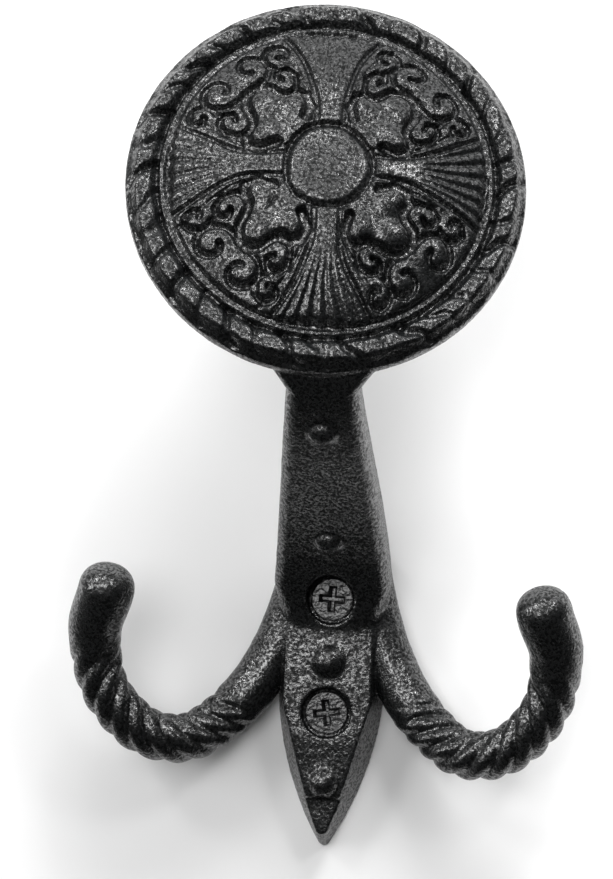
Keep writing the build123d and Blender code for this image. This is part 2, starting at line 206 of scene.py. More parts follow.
world = bpy.data.worlds.new("studio_sky")
scene.world = world
world.use_nodes = True
tree = world.node_tree
tree.nodes.clear()
place = add_node(tree, "ShaderNodeTexCoord")
height = add_node(tree, "ShaderNodeSeparateXYZ", links={0: (place, "Generated")})
sky = add_node(
    tree, "ShaderNodeMapRange", {"interpolation_type": "SMOOTHSTEP"},
    {FROM_LOW: SKY_LOW, FROM_HIGH: SKY_HIGH, TO_LOW: SKY_DARK, TO_HIGH: SKY_BRIGHT},
    {RANGE_VALUE: (height, "Z")},
)
light = add_node(tree, "ShaderNodeBackground", values={"Color": (1, 1, 1, 1)}, links={"Strength": (sky, 0)})
add_node(tree, "ShaderNodeOutputWorld", links={"Surface": (light, 0)})
print("sky from", SKY_DARK, "below to", SKY_BRIGHT, "above")

# %% [markdown]
# ## Lamps
# A lamp high on the right throws the soft shadow to the lower left. It is left out of mirror rays,
# because its glare would hide the relief, and the photograph shows none. A fill lamp in front, one on
# the left and three small ones high up light the iron too, and it mirrors them as bright edges.

# %% Lamps
LIGHT_AIM = Vector((0, -0.02, 0.05))
KEY_DISTANCE = 1.25
KEY_SIZE = 0.5
KEY_POWER = 33.0
KEY_AZIMUTH = radians(33)
KEY_ELEVATION = radians(68)
FILL_SIZE = 0.6
FILL_POWER = 5.0
FILL_PLACE = (-0.2, -1.1, 0.26)
SIDE_SIZE = 0.5
SIDE_POWER = 4.0
SIDE_PLACE = (-1.0, -0.6, 0.2)
SPARK_SIZE = 0.2
SPARK_LAMPS = (
    # place and power
    ((-0.75, -0.75, 0.85), 3.0),
    ((0.55, -0.75, 0.75), 2.2),
    ((-0.1, -0.6, 1.15), 2.0),
)


def softbox(name, place, size, power):
    """A square lamp that faces the hook."""
    data = bpy.data.lights.new(name, "AREA")
    data.shape = "SQUARE"
    data.size = size
    data.energy = power
    lamp = bpy.data.objects.new(name, data)
    lamp.location = place
    lamp.rotation_mode = "QUATERNION"
    lamp.rotation_quaternion = (LIGHT_AIM - Vector(place)).to_track_quat("-Z", "Y")
    scene.collection.objects.link(lamp)
    return lamp


key_place = LIGHT_AIM + KEY_DISTANCE * Vector((
    sin(KEY_AZIMUTH) * cos(KEY_ELEVATION),
    -cos(KEY_AZIMUTH) * cos(KEY_ELEVATION),
    sin(KEY_ELEVATION),
))
key = softbox("key_light", key_place, KEY_SIZE, KEY_POWER)
key.visible_glossy = False
softbox("fill_light", FILL_PLACE, FILL_SIZE, FILL_POWER)
softbox("side_light", SIDE_PLACE, SIDE_SIZE, SIDE_POWER)
for number, (spark_place, spark_power) in enumerate(SPARK_LAMPS, 1):
    softbox(f"spark_light_{number}", spark_place, SPARK_SIZE, spark_power)
print("key light at", [round(v, 2) for v in key_place], "and", 2 + len(SPARK_LAMPS), "other lamps")

# %% [markdown]
# ## Finish of the casting
# Sand-cast iron keeps the print of the sand: grains about half a millimetre wide all over it. The black
# enamel is glossy on the tops of the grains and dull in the valleys between them. One noise gives the
# bump, the colour, the gloss and the strength of the mirroring, so that all four agree, and a coarser
# noise adds low lumps. A displaced mesh could show the grain too, but one that fine would be far too
# heavy, so the grain is bump.

# %% Black enamel on sand-cast iron
NOISE_DETAIL = 2.0
GRAIN = 0.55 * MM
GRAIN_HARSHNESS = 0.6
GRAIN_HEIGHT = 0.11 * MM
GRAIN_VALLEY = 0.40
GRAIN_TOP = 0.62
LUMP = 1.6 * MM
LUMP_HARSHNESS = 0.5
LUMP_HEIGHT = 0.13 * MM
VALLEY_COLOUR = linear("060707")
TOP_COLOUR = linear("141516")
VALLEY_ROUGHNESS = 0.4
TOP_ROUGHNESS = 0.2
VALLEY_SHINE = 0.15
TOP_SHINE = 1.0
ENAMEL_IOR = 1.75

iron_finish, tree = new_material("black_enamel_on_sand_cast_iron")
place = add_node(tree, "ShaderNodeTexCoord")
grain = add_node(
    tree, "ShaderNodeTexNoise",
    values={"Scale": 1 / GRAIN, "Detail": NOISE_DETAIL, "Roughness": GRAIN_HARSHNESS},
    links={"Vector": (place, "Object")},
)
lumps = add_node(
    tree, "ShaderNodeTexNoise",
    values={"Scale": 1 / LUMP, "Detail": NOISE_DETAIL, "Roughness": LUMP_HARSHNESS},
    links={"Vector": (place, "Object")},
)
tops = add_node(
    tree, "ShaderNodeMapRange", {"interpolation_type": "SMOOTHSTEP"},
    {FROM_LOW: GRAIN_VALLEY, FROM_HIGH: GRAIN_TOP}, {RANGE_VALUE: (grain, 0)},
)
shade = add_node(
    tree, "ShaderNodeMix", {"data_type": "RGBA"},
    {MIX_FIRST: VALLEY_COLOUR, MIX_SECOND: TOP_COLOUR}, {MIX_SHARE: (tops, 0)},
)
gloss = add_node(
    tree, "ShaderNodeMapRange", values={TO_LOW: VALLEY_ROUGHNESS, TO_HIGH: TOP_ROUGHNESS},
    links={RANGE_VALUE: (tops, 0)},
)
shine = add_node(
    tree, "ShaderNodeMapRange", values={TO_LOW: VALLEY_SHINE, TO_HIGH: TOP_SHINE},
    links={RANGE_VALUE: (tops, 0)},
)
bumps = add_node(
    tree, "ShaderNodeBump", values={"Strength": 1.0, "Distance": LUMP_HEIGHT}, links={"Height": (lumps, 0)},
)
grit = add_node(
    tree, "ShaderNodeBump", values={"Strength": 1.0, "Distance": GRAIN_HEIGHT},
    links={"Height": (grain, 0), "Normal": (bumps, 0)},
)
enamel = add_node(
    tree, "ShaderNodeBsdfPrincipled", values={"IOR": ENAMEL_IOR},
    links={
        "Base Color": (shade, MIX_RESULT),
        "Roughness": (gloss, 0),
        "Specular IOR Level": (shine, 0),
        "Normal": (grit, 0),
    },
)
add_node(tree, "ShaderNodeOutputMaterial", links={"Surface": (enamel, 0)})
print(iron_finish.name, "with", len(tree.nodes), "nodes")

# %% [markdown]
# ## Finish of the screws
# The screws are steel with a thin black coating, smoother than the casting. Their heads look scuffed in
# the photograph, with broken glints. One noise about a millimetre wide makes the coating uneven in
# colour, gloss and height, which breaks up what the flat heads mirror.

# %% Black-coated steel
COATING_MARK = 1.1 * MM
COATING_DEPTH = 0.3 * MM
COATING_DARK = linear("0e0e0f")
COATING_LIGHT = linear("1c1c1d")
COATING_GLOSS = (0.24, 0.38)
COATING_IOR = 1.5

screw_finish, tree = new_material("black_coated_steel")
place = add_node(tree, "ShaderNodeTexCoord")
marks = add_node(
    tree, "ShaderNodeTexNoise", values={"Scale": 1 / COATING_MARK, "Detail": NOISE_DETAIL},
    links={"Vector": (place, "Object")},
)
shade = add_node(
    tree, "ShaderNodeMix", {"data_type": "RGBA"},
    {MIX_FIRST: COATING_DARK, MIX_SECOND: COATING_LIGHT}, {MIX_SHARE: (marks, 0)},
)
gloss = add_node(
    tree, "ShaderNodeMapRange", values={TO_LOW: COATING_GLOSS[0], TO_HIGH: COATING_GLOSS[1]},
    links={RANGE_VALUE: (marks, 0)},
)
scuffs = add_node(
    tree, "ShaderNodeBump", values={"Strength": 1.0, "Distance": COATING_DEPTH}, links={"Height": (marks, 0)},
)
coating = add_node(
    tree, "ShaderNodeBsdfPrincipled", values={"IOR": COATING_IOR, "Specular IOR Level": 1.0},
    links={"Base Color": (shade, MIX_RESULT), "Roughness": (gloss, 0), "Normal": (scuffs, 0)},
)
add_node(tree, "ShaderNodeOutputMaterial", links={"Surface": (coating, 0)})
print(screw_finish.name, "with", len(tree.nodes), "nodes")

# %% [markdown]
# ## The medallion's face
# The face is a shallow dome inside a rope border, covered in leaf ornament. It could be sculpted by
# hand, but a dome with relief is a height over a flat disc, so it is turned on a lathe first: one radial
# line of points is spun right round. Each point of the face is then lifted by a height that is worked
# out from its place, which keeps every leaf and strand adjustable.

# %% Medallion frame and the lathe profile
MEDALLION_CENTRE = Vector((-1.5, -43.0, 89.5)) * MM
MEDALLION_TILT = radians(20)
MEDALLION_TURN = radians(7)
MEDALLION_RADIUS = 37.2
ROPE_INSET = 0.4
FIELD_RADIUS = 30.0
DOME_RISE = 7.0
RING_WIDTH = 0.9
EDGE_THICKNESS = 5.2
DISH_RADIUS = 26.0
DISH_DEPTH = 4.0
DISH_STEPS = 20
FACE_CUT = -2.0
FACE_SEAT = -3.0
PROFILE_STEP = 0.3
SPIN_STEPS = 720
LATHE_WELD = 0.001

face_right = Vector((cos(MEDALLION_TURN), sin(MEDALLION_TURN), 0))
face_out = Vector((
    sin(MEDALLION_TURN) * cos(MEDALLION_TILT),
    -cos(MEDALLION_TURN) * cos(MEDALLION_TILT),
    sin(MEDALLION_TILT),
))
face_up = face_out.cross(face_right)
face_axes = Matrix((face_right, face_up, face_out)).transposed()
to_medallion = Matrix.Translation(MEDALLION_CENTRE) @ face_axes.to_4x4()
dome_radius = (FIELD_RADIUS**2 + DOME_RISE**2) / (2 * DOME_RISE)
rope_inner = FIELD_RADIUS + RING_WIDTH
rope_outer = MEDALLION_RADIUS - ROPE_INSET
rope_middle = (rope_inner + rope_outer) / 2


def dish_height(radius):
    """Height of the hollow back at a radius, in mm."""
    return DISH_DEPTH * (1 - (radius / DISH_RADIUS) ** 2) - EDGE_THICKNESS


seat_radius = DISH_RADIUS * (1 - (FACE_SEAT + EDGE_THICKNESS) / DISH_DEPTH) ** 0.5
profile = [(r, 0.0) for r in np.arange(0, rope_outer, PROFILE_STEP)]
profile += [(rope_outer, 0.0), (MEDALLION_RADIUS, FACE_CUT), (MEDALLION_RADIUS, FACE_SEAT)]
profile += [(r, dish_height(r)) for r in np.linspace(seat_radius, 0, DISH_STEPS)]
bm = bmesh.new()
corners = [bm.verts.new((r, 0, h)) for r, h in profile]
lines = [bm.edges.new(pair) for pair in zip(corners, corners[1:])]
bmesh.ops.spin(
    bm, geom=corners + lines, cent=(0, 0, 0), axis=(0, 0, 1), angle=2 * pi, steps=SPIN_STEPS, use_merge=True,
)
bmesh.ops.remove_doubles(bm, verts=bm.verts, dist=LATHE_WELD)
bmesh.ops.recalc_face_normals(bm, faces=bm.faces)
face_mesh = bpy.data.meshes.new("medallion_face_lathe")
bm.to_mesh(face_mesh)
bm.free()
print("lathed face:", len(face_mesh.vertices), "points")

# %% [markdown]
# ### Channels
# A carver shapes such foliage by cutting channels into a flat field. A channel is known by its middle
# line: the farther a point is from that line, the shallower the cut, down to nothing at the channel's
# edge. A scroll is a channel along a spiral. Sculpting brushes could cut them as well, but lines in a
# script can be moved by changing a number. All lengths are in millimetres on the flat disc.

# %% Channels
CHANNEL_SHAPE = 0.6
SCROLL_POINTS = 24
SCROLL_HALF_WIDTH = 0.6
SCROLL_DEPTH = 1.6


def distance(x, y, line):
    """Distance from a line of points."""
    nearest = np.full_like(x, np.inf)
    for (ax, ay), (bx, by) in zip(line, line[1:]):
        length2 = (bx - ax) ** 2 + (by - ay) ** 2
        share = np.clip(((x - ax) * (bx - ax) + (y - ay) * (by - ay)) / length2, 0, 1)
        nearest = np.minimum(nearest, np.hypot(x - ax - share * (bx - ax), y - ay - share * (by - ay)))
    return nearest


def channel(away, half_width, depth):
    """Depth of a round-bottomed channel at a distance from its middle."""
    return depth * np.clip(1 - (away / half_width) ** 2, 0, None) ** CHANNEL_SHAPE


def scroll(centre, radii, turns):
    """Points of a spiral round a centre."""
    steps = zip(np.linspace(*radii, SCROLL_POINTS), np.linspace(*turns, SCROLL_POINTS))
    return [(centre[0] + radius * cos(turn), centre[1] + radius * sin(turn)) for radius, turn in steps]


half_way = channel(SCROLL_HALF_WIDTH / 2, SCROLL_HALF_WIDTH, SCROLL_DEPTH)
print("a scroll's channel half way to its edge:", round(half_way, 2), "mm deep")

# %% [markdown]
# ### Leaves
# The foliage stands up as one flat field with soft swellings, and what gives it its shape is what is cut
# away: deep gaps round the trefoil in each quarter, and spiral channels that leave scrolls between them.
# A quarter lies on each diagonal, with its axis as local y, and one half of it is described because the
# other half mirrors it. Leaves could be meshes of their own, set on the dome, but then each would meet it
# in a seam that cast iron doesn't have.

# %% Leaves
LEAF_TOP = 1.9
LEAF_SWELLINGS = (
    # across, along, radius, rise of the middle
    (0.0, 17.4, 3.2, 0.8),
    (3.9, 12.9, 3.2, 0.8),
    (3.7, 25.2, 3.4, 0.7),
    (7.0, 19.6, 1.4, 0.6),
    (9.7, 23.8, 2.6, 0.6),
)
GAP_LINE = (
    (3.6, 9.9),
    (6.3, 11.2),
    (7.4, 13.3),
    (6.3, 15.1),
    (4.3, 15.5),
    (3.5, 17.3),
    (3.2, 19.3),
    (1.7, 20.8),
    (0.0, 21.3),
)
GAP_HALF_WIDTH = 0.95
GAP_DEPTH = 2.6
HOOK_LINE = (
    (6.3, 15.1),
    (7.8, 16.3),
    (8.9, 18.2),
    (8.5, 20.3),
    (6.8, 21.1),
    (5.6, 20.0),
    (6.1, 18.7),
)
HOOK_HALF_WIDTH = 0.6
HOOK_DEPTH = 1.9
SHELL = (3.7, 25.2)
SHELL_RADII = (4.3, 1.0)
SHELL_TURNS = (radians(-130), radians(250))
CURL = (9.7, 23.8)
CURL_RADII = (3.0, 0.7)
CURL_TURNS = (radians(215), radians(-150))


def leaf_quarter(x, y):
    """Lift of one quarter's foliage."""
    x = np.abs(x)
    lift = np.full_like(x, LEAF_TOP)
    for across, along, radius, rise in LEAF_SWELLINGS:
        lift = lift + rise * np.clip(1 - np.hypot(x - across, y - along) ** 2 / radius**2, 0, None)
    cut = channel(distance(x, y, GAP_LINE), GAP_HALF_WIDTH, GAP_DEPTH)
    cut = np.maximum(cut, channel(distance(x, y, HOOK_LINE), HOOK_HALF_WIDTH, HOOK_DEPTH))
    for line in (scroll(SHELL, SHELL_RADII, SHELL_TURNS), scroll(CURL, CURL_RADII, CURL_TURNS)):
        cut = np.maximum(cut, channel(distance(x, y, line), SCROLL_HALF_WIDTH, SCROLL_DEPTH))
    return lift - cut


tip_lift = leaf_quarter(np.zeros(1), np.array([LEAF_SWELLINGS[0][1]]))[0]
print("lift at the middle of a trefoil's tip:", round(tip_lift, 2), "mm")

# %% [markdown]
# ### Fans and button
# A fan lies on each of the four main directions. It opens like a bell towards the border, and its flutes
# are ridges of a cosine across it that grow deeper as it opens. Each ridge could be drawn by itself, but
# one cosine gives all seven evenly. A plain round button with a ring covers the middle, where the four
# fans meet.

# %% Fans and button
FAN_WAIST = 12.0
FAN_WAIST_WIDTH = 2.4
FAN_SPREAD = 6.8
FAN_SPREAD_LENGTH = 16.0
FAN_POWER = 1.8
FAN_END = 29.3
FAN_EDGE = 0.9
FAN_RISE = 1.7
FAN_RIM_HALF_WIDTH = 0.6
FAN_RIM_DEPTH = 1.1
FAN_BORDER = 1.45
FAN_BORDER_HALF_WIDTH = 0.42
FAN_BORDER_DEPTH = 0.75
FAN_FLUTES = 7
FLUTE_RISE = 0.9
FLUTE_SHAPE = 0.7
FLUTE_OPENING = 7.0
FLUTE_LEAST = 0.12
FLUTE_SCALLOP = 0.8
BUTTON_RADIUS = 8.0
BUTTON_RISE = 1.5
BUTTON_EDGE = 1.1
BUTTON_RING = 9.2
BUTTON_RING_HALF_WIDTH = 0.6
BUTTON_RING_RISE = 1.0
QUARTERS = 4
QUARTER_TURN = 90
DIAGONAL = 45
FAR_BELOW = -9.0


def fan(x, y):
    """Share of a fan at each point, the lift of its flutes and the depth of the lines round it."""
    opening = np.clip((y - FAN_WAIST) / FAN_SPREAD_LENGTH, 0, None)
    width = FAN_WAIST_WIDTH + FAN_SPREAD * opening**FAN_POWER
    share = x / width
    flute = np.abs(np.cos(FAN_FLUTES * pi / 2 * share)) ** FLUTE_SHAPE
    depth = FLUTE_RISE * np.clip((y - FAN_WAIST) / FLUTE_OPENING, FLUTE_LEAST, 1)
    end = np.sqrt(np.clip((FAN_END - FLUTE_SCALLOP * (1 - flute) - y) / FAN_EDGE, 0, 1))
    inside = np.clip((1 - np.abs(share)) * width / FAN_EDGE, 0, 1)
    rim = channel((np.abs(share) - 1) * width, FAN_RIM_HALF_WIDTH, FAN_RIM_DEPTH)
    border = channel((np.abs(share) - FAN_BORDER) * width, FAN_BORDER_HALF_WIDTH, FAN_BORDER_DEPTH)
    return inside, (FAN_RISE - depth / 2 + depth * flute) * end, np.maximum(rim, border)


def turned(u, v, turn):
    """Places along and across a direction of the disc."""
    return u * cos(turn) + v * sin(turn), u * sin(turn) - v * cos(turn)


def relief(u, v):
    """Lift of the whole ornament over the dome."""
    lift = np.full_like(u, FAR_BELOW)
    for quarter in range(QUARTERS):
        along, across = turned(u, v, radians(DIAGONAL + QUARTER_TURN * quarter))
        lift = np.where(np.abs(across) <= along, leaf_quarter(across, along), lift)
    for quarter in range(QUARTERS):
        along, across = turned(u, v, radians(QUARTER_TURN * quarter))
        inside, fluted, rim = fan(across, along)
        lift = np.where(along > 0, lift + (fluted - lift) * inside - rim, lift)
    r = np.hypot(u, v)
    button = BUTTON_RISE * np.sqrt(np.clip((BUTTON_RADIUS - r) / BUTTON_EDGE, 0, 1))
    from_ring = (r - BUTTON_RING) / BUTTON_RING_HALF_WIDTH
    collar = BUTTON_RING_RISE * np.sqrt(np.clip(1 - from_ring**2, 0, None))
    lift = np.where(r < BUTTON_RING - BUTTON_RING_HALF_WIDTH, 0, lift)
    return np.maximum(np.maximum(lift, button), collar)


print("lift of the button:", round(relief(np.zeros(1), np.zeros(1))[0], 2), "mm")

# %% [markdown]
# ### Rope border
# The border is cast as a twisted rope, worn and uneven: deep slanted notches with a shallow crease between
# each two. Its height is a section with soft flanks that the notches bite into. Slow waves make the strands
# differ a little, as a hand-cut pattern does, and come out the same in every run. A twisted mesh could be
# bent into a ring instead, but it would lie on the face and not be part of it, as the cast rope is.

# %% Rope border
ROPE_STRANDS = 18
ROPE_SLANT = radians(36)
ROPE_CROWN = 1.2
ROPE_EDGE = -1.3
ROPE_FLANK = 1.9
ROPE_WEAR = 0.25
ROPE_SWAY = 0.55
ROPE_NOTCH = 2.3
ROPE_NOTCH_WIDTH = 0.14
ROPE_NOTCH_MEAN = 0.75
ROPE_NOTCH_CHANGE = 0.35
ROPE_CREASE = 0.9
ROPE_CREASE_WIDTH = 0.06
ROPE_INNER_BITE = 1.1
ROPE_OUTER_BITE = 0.85
ROPE_EASE = 0.5
ROPE_EASE_POWER = 3
FIRST_WAVE = (0.33, 0.21)
SECOND_WAVE = (-0.38, 0.27)
SECOND_PHASE = 2.3
# Waviness of each pattern: its scale along u and along v, and its phase
WEAR_WAVES = (1.7, 1.9, 5.2)
SWAY_WAVES = (2.1, 2.3, 0.4)
NOTCH_WAVES = (0.7, 0.8, 1.9)


def wobble(u, v, waves):
    """Slow unevenness of a hand-cut pattern, between about -1 and 1."""
    scale_u, scale_v, phase = waves
    u = scale_u * u
    v = scale_v * v
    first = np.sin(FIRST_WAVE[0] * u + FIRST_WAVE[1] * v + phase)
    second = np.sin(SECOND_WAVE[1] * v + SECOND_WAVE[0] * u + SECOND_PHASE * phase)
    return (first + second) / 2


def smooth_step(low, high, values):
    """0 below low, 1 above high and a soft rise between them."""
    share = np.clip((values - low) / (high - low), 0, 1)
    return share * share * (3 - 2 * share)


def rope(u, v, r):
    """Height of the rope border over the ring plane."""
    half = (rope_outer - rope_inner) / 2
    share = np.clip(np.abs(r - rope_middle) / half, 0, 1)
    inner = smooth_step(rope_inner, rope_inner + ROPE_FLANK, r)
    outer = 1 - smooth_step(rope_outer - ROPE_FLANK, rope_outer, r)
    section = ROPE_EDGE + (ROPE_CROWN - ROPE_EDGE) * np.minimum(inner, outer)
    section = section + ROPE_WEAR * wobble(u, v, WEAR_WAVES)
    turn = np.arctan2(v, u) - (r - rope_middle) * tan(ROPE_SLANT) / rope_middle
    twist = ROPE_STRANDS * turn + ROPE_SWAY * wobble(u, v, SWAY_WAVES)
    notch = np.exp(-((1 - np.cos(twist)) / ROPE_NOTCH_WIDTH))
    crease = np.exp(-((1 + np.cos(twist)) / ROPE_CREASE_WIDTH))
    strength = ROPE_NOTCH_MEAN + ROPE_NOTCH_CHANGE * wobble(u, v, NOTCH_WAVES)
    bite = ROPE_NOTCH * strength * notch + ROPE_CREASE * crease
    bite = bite * np.where(r < rope_middle, ROPE_INNER_BITE, ROPE_OUTER_BITE)
    return section - bite * (1 - ROPE_EASE * share**ROPE_EASE_POWER)


print("rope", round(rope_outer - rope_inner, 2), "mm wide with", ROPE_STRANDS, "strands")

# %% [markdown]
# ### Lifting the face
# The dome, the ornament, the thin ring round it and the rope are put together into one height. The
# ornament is bent a little first, by the same slow waves, so that the four quarters aren't copies. The
# lathed disc's upper points then take their heights, and the face moves to its tilted place.

# %% Lifting the face
RING_RISE = 0.7
RING_HALF_SHARE = 0.8
FIELD_DROP = 0.4
FIELD_EDGE = 0.8
BEND = 0.4
BEND_U_WAVES = (1.0, 1.0, 0.7)
BEND_V_WAVES = (1.0, 1.0, 3.1)
TOP_TOLERANCE = 0.01


def face_height(u, v):
    """Height of the medallion's face over its ring plane."""
    r = np.hypot(u, v)
    bent_u = u + BEND * wobble(u, v, BEND_U_WAVES)
    bent_v = v + BEND * wobble(v, u, BEND_V_WAVES)
    dome = np.sqrt(np.clip(dome_radius**2 - r**2, 0, None)) + DOME_RISE - dome_radius
    field = dome - FIELD_DROP + relief(bent_u, bent_v) * np.clip((FIELD_RADIUS - r) / FIELD_EDGE, 0, 1)
    from_ring = (r - FIELD_RADIUS - RING_WIDTH / 2) / (RING_HALF_SHARE * RING_WIDTH)
    ring = RING_RISE * np.sqrt(np.clip(1 - from_ring**2, 0, None))
    border = np.maximum(rope(u, v, r), np.where(r < rope_inner, ring, FAR_BELOW))
    return np.where(r < FIELD_RADIUS, np.maximum(field, ring), border)


def mesh_points(mesh):
    """The points of a mesh as rows of an array."""
    points = np.empty(len(mesh.vertices) * 3)
    mesh.vertices.foreach_get("co", points)
    return points.reshape(-1, 3)


points = mesh_points(face_mesh)
on_top = points[:, 2] > -TOP_TOLERANCE
points[on_top, 2] = face_height(points[on_top, 0], points[on_top, 1])
face_mesh.vertices.foreach_set("co", points.ravel())
face_mesh.transform(Matrix.Scale(MM, 4))
face_mesh.transform(to_medallion)
print("face heights from", round(points[on_top, 2].min(), 2), "to", round(points[on_top, 2].max(), 2), "mm")

# %% [markdown]
# ## Line of a prong
# Each prong leaves the plate beside the neck, swings down and out, and comes up and forward again. A
# Bezier curve with automatic handles through a few points of the CAD prong gives that swing. It is read
# as a list of points with the length travelled to each, and a straight end is added for the rounded tip.

# %% Line of a prong
PRONG_POINTS = (
    (5.6, -3.6, 19.0),
    (11.9, -3.6, -1.5),
    (20.6, -6.48, -13.2),
    (29.3, -10.13, -17.4),
    (39.91, -14.16, -11.66),
    (44.3, -18.38, 2.2),
    (41.9, -22.8, 10.95),
)
PRONG_CAP = 5.2
CURVE_STEPS = 40
WAY_STEP = 0.4


def evaluated_mesh(piece):
    """A new mesh of an object with its curve or modifiers worked out."""
    return bpy.data.meshes.new_from_object(piece.evaluated_get(bpy.context.evaluated_depsgraph_get()))


curve = bpy.data.curves.new("prong_line", "CURVE")
curve.dimensions = "3D"
curve.resolution_u = CURVE_STEPS
spline = curve.splines.new("BEZIER")
spline.bezier_points.add(len(PRONG_POINTS) - 1)
for knot, point in zip(spline.bezier_points, PRONG_POINTS):
    knot.co = point
    knot.handle_left_type = "AUTO"
    knot.handle_right_type = "AUTO"
guide = bpy.data.objects.new("prong_line", curve)
scene.collection.objects.link(guide)
prong_line = np.array([vertex.co for vertex in evaluated_mesh(guide).vertices])
bpy.data.objects.remove(guide)
end_way = prong_line[-1] - prong_line[-2]
prong_line = np.vstack((prong_line, prong_line[-1] + end_way / np.linalg.norm(end_way) * PRONG_CAP))
prong_travel = np.concatenate(([0], np.cumsum(np.linalg.norm(np.diff(prong_line, axis=0), axis=1))))
prong_length = prong_travel[-1]


def along_line(travel):
    """Points of the prong's line at travelled lengths."""
    return np.stack([np.interp(travel, prong_travel, prong_line[:, axis]) for axis in range(3)], axis=-1)


def on_prong(travel):
    """Middle of the bar, and its unit direction, at travelled lengths."""
    way = along_line(travel + WAY_STEP) - along_line(travel - WAY_STEP)
    return along_line(travel), way / np.linalg.norm(way, axis=-1, keepdims=True)


print("prong line", round(prong_length, 1), "mm long")

# %% [markdown]
# ## Twisted bars
# The prongs look like a bar of five strands twisted about each other, smooth at the root and at the thick
# rounded end. A flat grid is rolled round the line, one side of it round the bar and the other along it.
# Each point's distance from the middle is the bar's radius less the grooves between the strands, whose
# spacing grows slowly towards the tip. Sweeping a section would need one section for each turn of the
# twist, and a formula needs none.

# %% Twisted bars
PRONG_RADIUS = 4.8
PRONG_START_RADIUS = 4.6
PRONG_END_RADIUS = 5.4
PRONG_SWELL = 26.0
PRONG_START = 22.0
PRONG_START_LENGTH = 0.4
PRONG_AROUND = 96
PRONG_ALONG = 260
CAP_SHAPE = 2.4
STRANDS = 5
STRAND_SPACING = 3.3
STRAND_SPREAD = 0.035
STRAND_DEPTH = 1.25
STRAND_SHARPNESS = 0.55
TWIST_FROM = (27.0, 32.0)
TWIST_TO = (68.0, 77.0)
BAR_WELD = 0.01 * MM


def prong_radius(travel, turn):
    """Distance of the bar's surface from its middle."""
    thickening = smooth_step(PRONG_START, TWIST_FROM[1], travel)
    swelling = smooth_step(prong_length - PRONG_SWELL, prong_length - PRONG_CAP, travel)
    radius = PRONG_START_RADIUS + (PRONG_RADIUS - PRONG_START_RADIUS) * thickening
    radius = radius + (PRONG_END_RADIUS - PRONG_RADIUS) * swelling
    twisted = np.clip(travel - TWIST_FROM[0], 0, None)
    grooves = np.log1p(twisted * STRAND_SPREAD / STRAND_SPACING) / STRAND_SPREAD
    phase = 2 * pi * grooves + STRANDS * turn
    valley = 1 - np.abs(np.sin(phase / 2)) ** STRAND_SHARPNESS
    part = smooth_step(*TWIST_FROM, travel) * (1 - smooth_step(*TWIST_TO, travel))
    cap = np.clip((travel - (prong_length - PRONG_CAP)) / PRONG_CAP, 0, 1)
    root = np.clip((travel - PRONG_START) / PRONG_START_LENGTH, 0, 1)
    return (radius - STRAND_DEPTH * valley * part) * (1 - cap**CAP_SHAPE) ** (1 / CAP_SHAPE) * root


def prong_mesh(side):
    """One prong as a closed mesh, on the side +1 or -1 of the middle."""
    bar = bmesh.new()
    bmesh.ops.create_grid(bar, x_segments=PRONG_AROUND, y_segments=PRONG_ALONG, size=1.0)
    flat = np.array([vertex.co for vertex in bar.verts])
    turn = pi * flat[:, 0]
    travel = PRONG_START + (flat[:, 1] + 1) / 2 * (prong_length - PRONG_START)
    middle, way = on_prong(travel)
    front = np.array((0.0, -1.0, 0.0)) - way * -way[:, 1:2]
    front /= np.linalg.norm(front, axis=1, keepdims=True)
    outward = np.cross(way, front)
    reach = prong_radius(travel, turn)[:, None]
    surface = middle + reach * (front * np.cos(turn)[:, None] + outward * np.sin(turn)[:, None])
    for vertex, point in zip(bar.verts, surface):
        vertex.co = Vector((side * point[0], point[1], point[2])) * MM
    bmesh.ops.remove_doubles(bar, verts=bar.verts, dist=BAR_WELD)
    bmesh.ops.recalc_face_normals(bar, faces=bar.faces)
    mesh = bpy.data.meshes.new("twisted_prong")
    bar.to_mesh(mesh)
    bar.free()
    return mesh


prong_meshes = [prong_mesh(side) for side in (1, -1)]
print("twisted prongs:", [len(mesh.vertices) for mesh in prong_meshes], "points")

# %% [markdown]
# ## Cutting the CAD casting
# On the real hook everything is poured at once: neck, plate, prongs and medallion flow into each other.
# The CAD solid gives all of that with a simpler face and plainer prongs. So a merged copy of it is cut
# along a plane just under the medallion's face, and across each prong near its root, and the cuts are
# closed. The lathed face and the twisted prongs then go in with it, and each reaches past its cut.

# %% Cutting the CAD casting
PRONG_CUT = 33.0
PRONG_SIDE = 12.5 * MM
PRONG_TOP = 25 * MM
CAD_WELD = 0.001 * MM
CUT_TOLERANCE = 1e-7


def merged_copy(node):
    """A bmesh copy of a CAD node with its loose triangles joined."""
    copy = bmesh.new()
    copy.from_mesh(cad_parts[node].data)
    bmesh.ops.remove_doubles(copy, verts=copy.verts, dist=CAD_WELD)
    return copy


def open_edges(mesh):
    """The edges round the holes of a bmesh."""
    return [edge for edge in mesh.edges if edge.is_boundary]


def finished(mesh):
    """An object at the origin for a finished mesh, in the scene."""
    piece = bpy.data.objects.new(mesh.name, mesh)
    scene.collection.objects.link(piece)
    return piece


